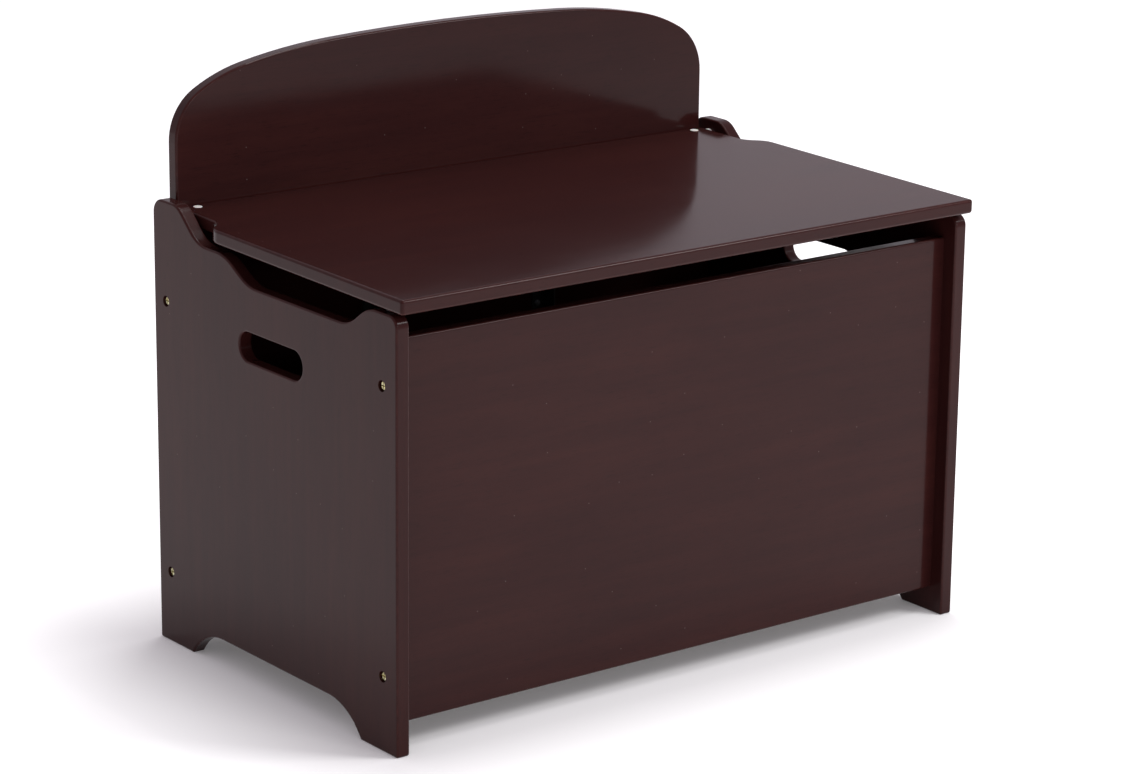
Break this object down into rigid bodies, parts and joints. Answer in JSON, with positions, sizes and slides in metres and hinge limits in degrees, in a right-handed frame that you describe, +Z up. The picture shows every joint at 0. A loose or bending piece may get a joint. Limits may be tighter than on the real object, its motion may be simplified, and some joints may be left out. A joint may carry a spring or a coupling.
{
  "type": "toy box",
  "caption": "Wooden toy box with a hinged bench-seat lid, crowned backrest board, side handle holes, finger scallops and slow-close lid stays.",
  "frame": {"origin": "centre of the footprint on the floor", "axes": "+X to the box's right seen from the front viewer's side, +Y to the back, +Z up; the front faces -Y"},
  "size_m": [0.726, 0.441, 0.619],
  "materials": {
    "stained_wood": "glossy lacquer over a dark red-brown stain",
    "bottom_board": "matt stained thin board",
    "plain_wood": "unfinished beech",
    "yellow_zinc": "yellow passivated zinc plate",
    "zinc_steel": "bright zinc-plated steel",
    "black_plastic": "moulded, fine texture",
    "white_nylon": "smooth moulded nylon",
    "black_steel": "black powder coat",
    "dark_rubber": "soft, matt"
  },
  "bodies": {
    "box": {"back_barrel_nuts": "zinc_steel", "back_panel": "stained_wood", "backrest_panel": "stained_wood", "backrest_screws": "zinc_steel", "bottom_panel": "bottom_board", "front_barrel_nuts": "zinc_steel", "front_panel": "stained_wood", "left_back_bracket": "black_steel", "left_back_bracket_screws": "zinc_steel", "left_damper": "black_plastic", "left_pivot_bush": "white_nylon", "left_side_bolts": "yellow_zinc", "left_side_panel": "stained_wood", "right_back_bracket": "black_steel", "right_back_bracket_screws": "zinc_steel", "right_damper": "black_plastic", "right_pivot_bush": "white_nylon", "right_side_bolts": "yellow_zinc", "right_side_panel": "stained_wood", "wood_dowels": "plain_wood"},
    "lid": {"left_lid_bracket": "black_steel", "left_lid_bracket_screws": "zinc_steel", "left_lid_rivet": "zinc_steel", "left_pin_plug": "white_nylon", "left_pivot_pin": "zinc_steel", "lid": "stained_wood", "lid_bumpers": "dark_rubber", "right_lid_bracket": "black_steel", "right_lid_bracket_screws": "zinc_steel", "right_lid_rivet": "zinc_steel", "right_pin_plug": "white_nylon", "right_pivot_pin": "zinc_steel"},
    "left_stay_arm": {"left_damper_shaft": "zinc_steel", "left_elbow_rivet": "zinc_steel", "left_stay_arm": "black_steel"},
    "left_stay_link": {"left_stay_link": "black_steel"},
    "right_stay_arm": {"right_damper_shaft": "zinc_steel", "right_elbow_rivet": "zinc_steel", "right_stay_arm": "black_steel"},
    "right_stay_link": {"right_stay_link": "black_steel"}
  },
  "joints": [
    {"name": "lid_hinge", "type": "hinge", "parent": "box", "child": "lid", "pos_m": [0, 0.1935, 0.4552], "axis": [-1, 0, 0], "range_deg": [0, 90]},
    {"name": "left_stay_arm_pivot", "type": "hinge", "parent": "box", "child": "left_stay_arm", "pos_m": [-0.1096, 0.1765, 0.364], "axis": [-1, 0, 0], "range_deg": [-0.5, 90.5]},
    {"name": "left_stay_link_pivot", "type": "hinge", "parent": "lid", "child": "left_stay_link", "pos_m": [-0.1072, 0.12573, 0.43538], "axis": [-1, 0, 0], "range_deg": [-90.5, 0.5]},
    {"name": "right_stay_arm_pivot", "type": "hinge", "parent": "box", "child": "right_stay_arm", "pos_m": [0.1096, 0.1765, 0.364], "axis": [-1, 0, 0], "range_deg": [-0.5, 90.5]},
    {"name": "right_stay_link_pivot", "type": "hinge", "parent": "lid", "child": "right_stay_link", "pos_m": [0.1072, 0.12573, 0.43538], "axis": [-1, 0, 0], "range_deg": [-90.5, 0.5]}
  ],
  "couplings": [
    {"joint": "left_stay_arm_pivot", "follows": "lid_hinge", "ratio": 1},
    {"joint": "left_stay_link_pivot", "follows": "lid_hinge", "ratio": -1},
    {"joint": "right_stay_arm_pivot", "follows": "lid_hinge", "ratio": 1},
    {"joint": "right_stay_link_pivot", "follows": "lid_hinge", "ratio": -1}
  ]
}
